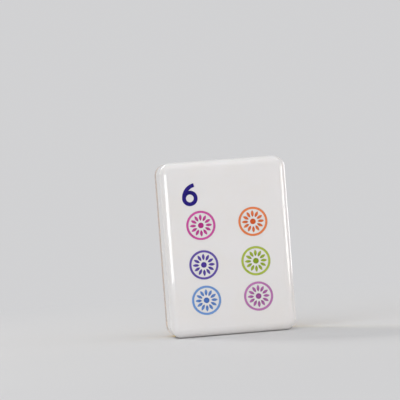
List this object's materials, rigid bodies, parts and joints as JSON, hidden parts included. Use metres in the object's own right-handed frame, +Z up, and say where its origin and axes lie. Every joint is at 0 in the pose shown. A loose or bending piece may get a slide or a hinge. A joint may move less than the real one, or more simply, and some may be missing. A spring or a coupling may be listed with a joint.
{
  "type": "mahjong tile",
  "caption": "Upright rounded game tile: a white face with an engraved, paint-filled numeral and dots, laminated to a gold glitter layer under a clear amber back slab.",
  "frame": {"origin": "centre of the lower short edge, on the surface that the tile stands on", "axes": "+Z up the face from the standing edge, -Y out of the engraved face, +Y out of the clear back, +X to the right as the face is read"},
  "size_m": [0.022, 0.013, 0.0305],
  "materials": {
    "face_white": "polished opaque white acrylic",
    "glitter_gold": "gold glitter flakes set in resin",
    "amber_clear": "polished clear amber acrylic",
    "paint_indigo": "indigo paint fill",
    "paint_pink": "pink paint fill",
    "paint_orange": "orange paint fill",
    "paint_purple": "purple paint fill",
    "paint_green": "green paint fill",
    "paint_blue": "blue paint fill",
    "paint_orchid": "orchid paint fill"
  },
  "bodies": {
    "root": {"face_block": "face_white", "glitter_sheet": "glitter_gold", "back_slab": "amber_clear", "numeral_inlay": "paint_indigo", "dot_inlay_pink": "paint_pink", "dot_inlay_orange": "paint_orange", "dot_inlay_purple": "paint_purple", "dot_inlay_green": "paint_green", "dot_inlay_blue": "paint_blue", "dot_inlay_orchid": "paint_orchid"}
  },
  "joints": []
}
